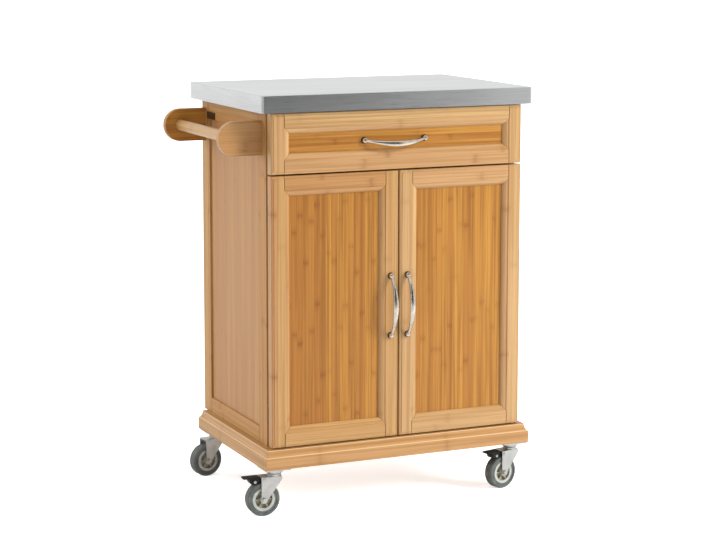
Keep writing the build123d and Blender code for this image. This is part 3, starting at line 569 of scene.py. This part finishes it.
# Heads of screws and rivets, drawn with a radius of 1: rings of (radius, height) from the rim inwards
headForms = {
    "crossHead": {"rings": ((1.0, -0.04), (0.97, 0.20), (0.84, 0.36), (0.62, 0.44)),
                  "crossReach": 0.46, "crossHalfWidth": 0.12, "crossDepth": 0.36, "crossTaper": 0.75},
    "roundHead": {"rings": ((1.0, -0.04), (0.95, 0.24), (0.76, 0.46), (0.46, 0.60), (0.18, 0.66))},
}
headRound = {"sides": 24, "sharpFrom": 38}  # points round a head; past this many degrees an edge is sharp


def addRing(form, radius, height):
    # turned back by one point, so that every second point lies near a corner of the cross
    step = math.tau / headRound["sides"]
    angles = [step * (place - 1) for place in range(headRound["sides"])]
    return [form.verts.new((radius * math.cos(a), radius * math.sin(a), height)) for a in angles]


def addCross(form, look, scale, height):
    reach, half = look["crossReach"] * scale, look["crossHalfWidth"] * scale
    arm = ((reach, -half), (reach, half), (half, half))
    made = []
    for quarter in range(4):
        turn = Matrix.Rotation(quarter * math.pi / 2, 3, "Z")
        made += [form.verts.new(turn @ Vector((x, y, height))) for x, y in arm]
    return made


def joinRings(form, outer, inner):
    # the outer ring has as many points as the inner one, or twice as many
    step = len(outer) // len(inner)
    for place, corner in enumerate(inner):
        rim = [outer[(place * step + along) % len(outer)] for along in range(step + 1)]
        form.faces.new(rim + [inner[(place + 1) % len(inner)], corner])


def makeHead(name):
    look = headForms[name]
    form = bmesh.new()
    rings = [addRing(form, radius, height) for radius, height in look["rings"]]
    form.faces.new(rings[0][::-1])
    if "crossReach" in look:
        top = look["rings"][-1][1]
        rings.append(addCross(form, look, 1.0, top))
        rings.append(addCross(form, look, look["crossTaper"], top - look["crossDepth"]))
    for outer, inner in zip(rings, rings[1:]):
        joinRings(form, outer, inner)
    form.faces.new(rings[-1])
    for face in form.faces:
        face.smooth = True
    mesh = bpy.data.meshes.new(name)
    form.to_mesh(mesh)
    form.free()
    mesh.set_sharp_from_angle(angle=math.radians(headRound["sharpFrom"]))
    return linkNew(name, mesh)


def headSettingTree():
    # puts a head on every point, standing along the point's facing and spun by chance
    tree = bpy.data.node_groups.new("headSetting", "GeometryNodeTree")
    kinds = {"Geometry": "NodeSocketGeometry", "Head": "NodeSocketObject", "Finish": "NodeSocketMaterial",
             "Seed": "NodeSocketInt"}
    sockets = {name: tree.interface.new_socket(name=name, in_out="INPUT", socket_type=kind).identifier
               for name, kind in kinds.items()}
    tree.interface.new_socket(name="Geometry", in_out="OUTPUT", socket_type="NodeSocketGeometry")
    given = tree.nodes.new("NodeGroupInput").outputs
    facing = addNode(tree, "GeometryNodeInputNamedAttribute", {"Name": "facing"}, data_type="FLOAT_VECTOR")
    radius = addNode(tree, "GeometryNodeInputNamedAttribute", {"Name": "headRadius"}, data_type="FLOAT")
    aimed = addNode(tree, "FunctionNodeAlignRotationToVector", {"Vector": facing.outputs[0]}, axis="Z")
    chance = addNode(tree, "FunctionNodeRandomValue", {3: math.tau, "Seed": given["Seed"]}, data_type="FLOAT")
    spin = addNode(tree, "ShaderNodeCombineXYZ", {2: chance.outputs[1]}).outputs[0]
    spin = addNode(tree, "FunctionNodeEulerToRotation", {0: spin}).outputs[0]
    turned = addNode(tree, "FunctionNodeRotateRotation", {0: aimed.outputs[0], 1: spin},
                     rotation_space="LOCAL").outputs[0]
    head = addNode(tree, "GeometryNodeObjectInfo", {"Object": given["Head"]}).outputs["Geometry"]
    placed = addNode(tree, "GeometryNodeInstanceOnPoints", {
        "Points": given["Geometry"], "Instance": head, "Rotation": turned, "Scale": radius.outputs[0]})
    solid = addNode(tree, "GeometryNodeRealizeInstances", {0: placed.outputs[0]}).outputs[0]
    painted = addNode(tree, "GeometryNodeSetMaterial", {"Geometry": solid, "Material": given["Finish"]})
    tree.links.new(painted.outputs[0], tree.nodes.new("NodeGroupOutput").inputs[0])
    return tree, sockets


def setHeads(name, body, kind, slotName, heads):
    # heads holds a place, a direction and a radius for each; all of them become one mesh
    mesh = bpy.data.meshes.new(name + "Places")
    mesh.from_pydata([place for place, facing, radius in heads], [], [])
    aims = mesh.attributes.new("facing", "FLOAT_VECTOR", "POINT")
    aims.data.foreach_set("vector", [value for place, facing, radius in heads for value in facing])
    sizes = mesh.attributes.new("headRadius", "FLOAT", "POINT")
    sizes.data.foreach_set("value", [radius for place, facing, radius in heads])
    places = linkNew(name + "Places", mesh)
    modifier = places.modifiers.new("heads", "NODES")
    modifier.node_group = headTree
    chosen = {"Head": headObjects[kind], "Finish": slotFinish[slotName], "Seed": len(name)}
    for socket, value in chosen.items():
        modifier[headSockets[socket]] = value
    made = bpy.data.meshes.new_from_object(places.evaluated_get(bpy.context.evaluated_depsgraph_get()))
    bpy.data.objects.remove(places)
    piece = linkNew(name, made)
    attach(piece, body)


def solidBoxes(node):
    # the lowest and highest corner of every separate solid in a node, from left to right
    form = bmesh.new()
    form.from_mesh(nodes[node].data)
    bmesh.ops.remove_doubles(form, verts=form.verts, dist=0.000001)
    form.verts.index_update()
    form.verts.ensure_lookup_table()
    waiting, boxes = set(range(len(form.verts))), []
    while waiting:
        reached = [waiting.pop()]
        for index in reached:
            vertex = form.verts[index]
            beside = {edge.other_vert(vertex).index for edge in vertex.link_edges} & waiting
            waiting -= beside
            reached += sorted(beside)
        places = [form.verts[index].co for index in reached]
        boxes.append(tuple(tuple(pick(place[axis] for place in places) for axis in range(3))
                           for pick in (min, max)))
    form.free()
    return sorted(boxes)


def middleOf(box):
    return [(low + high) / 2 for low, high in zip(*box)]


# All the screws' radii and distances below are in metres
hingeScrews = {"radius": 0.0033, "leafThickness": 0.0012, "fixedInset": 0.0065, "doorInset": 0.0080,
               "spacing": 0.0205, "shortestLeaf": 0.04, "strikeRadius": 0.0022}


def hingeHeads(box, inset, facing):
    # three screws down the leaf, on its open face; the knuckle is on the outer side
    (left, front, low), (right, back, high) = box
    x = right - inset if left < 0 else left + inset
    y = front + hingeScrews["leafThickness"] if facing > 0 else back - hingeScrews["leafThickness"]
    middle = (low + high) / 2
    return [((x, y, middle + step * hingeScrews["spacing"]), (0, facing, 0), hingeScrews["radius"])
            for step in (-1, 0, 1)]


def doorFittingHeads(box):
    # a door's fittings are its hinge leaves and the small strike of its catch
    if box[1][2] - box[0][2] > hingeScrews["shortestLeaf"]:
        return hingeHeads(box, hingeScrews["doorInset"], 1)
    middle = middleOf(box)
    return [((middle[0], box[1][1], middle[2]), (0, 1, 0), hingeScrews["strikeRadius"])]


def makeHingeScrews():
    heads = []
    for box in solidBoxes("cabinet_hinge_leaves"):
        heads += hingeHeads(box, hingeScrews["fixedInset"], -1)
    setHeads("cabinet_hinge_screws", "cabinet", "crossHead", "dark_bronze", heads)
    for side in ("left", "right"):
        heads = [head for box in solidBoxes(side + "_door_fittings") for head in doorFittingHeads(box)]
        setHeads(side + "_hinge_screws", side + "_door", "crossHead", "dark_bronze", heads)


castorScrews = {"radius": 0.0042, "plateThickness": 0.0025, "spread": 0.022}


def castorHeads():
    spread, heads = castorScrews["spread"], []
    for box in solidBoxes("castor_plates"):
        middle, height = middleOf(box), box[1][2] - castorScrews["plateThickness"]
        heads += [((middle[0] + x, middle[1] + y, height), (0, 0, -1), castorScrews["radius"])
                  for x in (-spread, spread) for y in (-spread, spread)]
    return heads


slideScrews = {"radius": 0.0034, "sheet": 0.0012, "endInset": 0.032}


def slideHeads():
    heads = []
    for (left, front, low), (right, back, high) in solidBoxes("cabinet_slides"):
        inwards = 1 if left < 0 else -1
        x = left + slideScrews["sheet"] if inwards > 0 else right - slideScrews["sheet"]
        for y in (front + slideScrews["endInset"], (front + back) / 2, back - slideScrews["endInset"]):
            heads.append(((x, y, (low + high) / 2), (inwards, 0, 0), slideScrews["radius"]))
    return heads


catchScrews = {"radius": 0.0024, "spread": 0.009}


def catchHeads():
    heads = []
    for box in solidBoxes("door_catches"):
        middle = middleOf(box)
        heads += [((middle[0] + way * catchScrews["spread"], middle[1], box[0][2]), (0, 0, -1),
                   catchScrews["radius"]) for way in (-1, 1)]
    return heads


backScrews = {"radius": 0.0036, "count": 5, "endInset": 0.035}


def backHeads():
    # driven through the back panel into the two rails
    low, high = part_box("back_panel")
    step = (high.x - low.x - 2 * backScrews["endInset"]) / (backScrews["count"] - 1)
    heads = []
    for rail in solidBoxes("back_rails"):
        heads += [((low.x + backScrews["endInset"] + place * step, high.y, middleOf(rail)[2]), (0, 1, 0),
                   backScrews["radius"]) for place in range(backScrews["count"])]
    return heads


bracketScrews = {"radius": 0.0044, "spread": 0.020, "rearHeight": 0.800}


def bracketHeads():
    # driven from inside the cabinet, through the stiles of its left side
    inside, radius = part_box("left_side_frame")[1].x, bracketScrews["radius"]
    low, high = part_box("towel_bracket_front")
    middle = (low + high) / 2
    heads = [((inside, middle.y, middle.z + way * bracketScrews["spread"]), (1, 0, 0), radius)
             for way in (-1, 1)]
    low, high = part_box("towel_bracket_rear")
    return heads + [((inside, (low.y + high.y) / 2, bracketScrews["rearHeight"]), (1, 0, 0), radius)]


handleScrews = {"radius": 0.0046, "doorSpacing": 0.134, "drawerSpacing": 0.146, "drawerRise": 0.00365}


def makeHandleScrews():
    # driven from behind, through the doors' frames and the drawer's inner front
    radius = handleScrews["radius"]
    for side in ("left", "right"):
        low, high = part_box(side + "_door_handle")
        middle, inside = (low + high) / 2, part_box(side + "_door_frame")[1].y
        reach = handleScrews["doorSpacing"] / 2
        heads = [((middle.x, inside, middle.z + way * reach), (0, 1, 0), radius) for way in (-1, 1)]
        setHeads(side + "_handle_screws", side + "_door", "crossHead", "zinc", heads)
    low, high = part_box("drawer_handle")
    middle, inside = (low + high) / 2, solidBoxes("drawer_ends")[0][1][1]
    reach, height = handleScrews["drawerSpacing"] / 2, middle.z + handleScrews["drawerRise"]
    heads = [((middle.x + way * reach, inside, height), (0, 1, 0), radius) for way in (-1, 1)]
    setHeads("drawer_handle_screws", "drawer", "crossHead", "zinc", heads)


pedalRivets = {"radius": 0.0036, "ahead": 0.0475, "height": 0.0785, "halfWidth": 0.0110}


def makePedalRivets():
    # one at each end of the pin that a brake pedal tips on
    plates = solidBoxes("castor_plates")  # the left pair, then the right pair, each with its front one first
    for side, plate in (("front_left", plates[0]), ("front_right", plates[2])):
        across = next(Vector(joint["axis"]) for joint in frame["joints"] if joint["name"] == "brake_" + side)
        ahead = across.cross(Vector((0, 0, 1)))
        middle = Vector((*middleOf(plate)[:2], pedalRivets["height"])) + ahead * pedalRivets["ahead"]
        heads = [(middle + across * way * pedalRivets["halfWidth"], across * way, pedalRivets["radius"])
                 for way in (-1, 1)]
        setHeads("pedal_rivet_" + side, "brake_" + side, "roundHead", "zinc", heads)


headTree, headSockets = headSettingTree()
headObjects = {name: makeHead(name) for name in headForms}
makeHingeScrews()
makeHandleScrews()
makePedalRivets()
setHeads("cabinet_screws", "cabinet", "crossHead", "zinc",
         castorHeads() + slideHeads() + catchHeads() + backHeads() + bracketHeads())
for head in headObjects.values():
    bpy.data.objects.remove(head)
print("screws and rivets set")


# Studio: a white room whose floor shows no edge
floorLook = {"radius": 60.0, "sides": 96, "colour": (0.96, 0.96, 0.96, 1), "roughness": 0.9, "glow": 0.65}
room = {"shown": 1.0, "lights": 0.43}  # how bright it looks, and how much light it gives


def startSheet(name, roughness, colour):
    # a dull material for what stands round the cart
    material, tree, shader, axes = startMaterial(name)
    feed(tree, shader, {"Base Color": colour, "Roughness": roughness, "Specular IOR Level": 0.0})
    return material, tree, shader


def makeFloor():
    mesh = bpy.data.meshes.new("floor")
    form = bmesh.new()
    bmesh.ops.create_circle(form, cap_ends=True, segments=floorLook["sides"], radius=floorLook["radius"])
    form.to_mesh(mesh)
    form.free()
    floor = linkNew("floor", mesh)
    material, tree, shader = startSheet("palePaper", floorLook["roughness"], floorLook["colour"])
    seen = addNode(tree, "ShaderNodeLightPath").outputs["Is Camera Ray"]
    feed(tree, shader, {"Emission Color": white, "Emission Strength": product(tree, seen, floorLook["glow"])})
    mesh.materials.append(material)


def makeRoom():
    world = bpy.data.worlds.new("studio")
    bpy.context.scene.world = world
    world.use_nodes = True
    tree = world.node_tree
    seen = addNode(tree, "ShaderNodeLightPath").outputs["Is Diffuse Ray"]
    strength = mixValues(tree, seen, room["shown"], room["lights"])
    feed(tree, tree.nodes["Background"], {"Color": white, "Strength": strength})
    bpy.context.scene.view_settings.view_transform = "Standard"


# Dark cards that only reflections show; each stands upright and faces the cart
cards = {
    "frontCard": {"at": (0.20, -3.6, 0.9), "size": (3.5, 4.2), "grey": 0.02, "roughness": 1.0},
    "leftCard": {"at": (-3.2, -1.5, 0.7), "size": (1.6, 2.6), "grey": 0.05, "roughness": 1.0},
}


def makeCard(name, card):
    mesh = bpy.data.meshes.new(name)
    form = bmesh.new()
    bmesh.ops.create_grid(form, x_segments=1, y_segments=1, size=0.5)
    away = Vector(card["at"]) - Vector((0, 0, card["at"][2]))
    turn = away.to_track_quat("Z", "Y").to_matrix().to_4x4()
    for vertex in form.verts:
        flat = Vector((vertex.co.x * card["size"][0], vertex.co.y * card["size"][1], 0))
        vertex.co = turn @ flat + Vector(card["at"])
    form.to_mesh(mesh)
    form.free()
    sheet = linkNew(name, mesh)
    mesh.materials.append(startSheet(name + "Paint", card["roughness"], (card["grey"],) * 3 + (1,))[0])
    sheet.visible_camera = sheet.visible_diffuse = sheet.visible_shadow = sheet.visible_transmission = False


# Lamps: a soft key from the front right, a fill from the back left, one above, and a low box on the right
suns = {
    "keySun": {"from": (2.3, -2.2, 1.8), "softness": 18, "power": 1.90},
    "fillSun": {"from": (-2.4, 2.1, 1.0), "softness": 40, "power": 1.70},
    "topSun": {"from": (-0.4, -0.2, 1.0), "softness": 35, "power": 0.85},
}
softbox = {"at": (1.7, -1.6, 0.7), "aim": (0.1, -0.2, 0.5), "size": (0.7, 1.8), "power": 30}


def makeLamp(name, kind, power, away):
    # away points from what is lit towards the lamp; reflections show no lamp
    data = bpy.data.lights.new(name, kind)
    data.energy = power
    lamp = linkNew(name, data)
    lamp.rotation_euler = Vector(away).to_track_quat("Z", "Y").to_euler()
    lamp.visible_glossy = False
    return lamp


def makeLamps():
    for name, sun in suns.items():
        lamp = makeLamp(name, "SUN", sun["power"], sun["from"])
        lamp.data.angle = math.radians(sun["softness"])
    lamp = makeLamp("softbox", "AREA", softbox["power"], Vector(softbox["at"]) - Vector(softbox["aim"]))
    lamp.data.shape = "RECTANGLE"
    lamp.data.size, lamp.data.size_y = softbox["size"]
    lamp.location = softbox["at"]
    lamp.visible_camera = False


# Camera: found by fitting the cart's straight edges to the photograph; lens and sensor in millimetres
camera = {"at": (-1.87035, -4.24584, 1.27009), "azimuth": -23.7248, "down": 7.4569, "lens": 102.712,
          "sensor": 36, "shift": (0.02, -0.1)}


def makeCamera():
    data = bpy.data.cameras.new("camera")
    data.lens = camera["lens"]
    data.sensor_width = camera["sensor"]
    data.shift_x, data.shift_y = camera["shift"]
    eye = linkNew("camera", data)
    eye.location = camera["at"]
    eye.rotation_euler = (math.radians(90 - camera["down"]), 0, math.radians(camera["azimuth"]))
    bpy.context.scene.camera = eye


makeFloor()
for name, card in cards.items():
    makeCard(name, card)
makeRoom()
makeLamps()
makeCamera()
print("studio and camera ready")
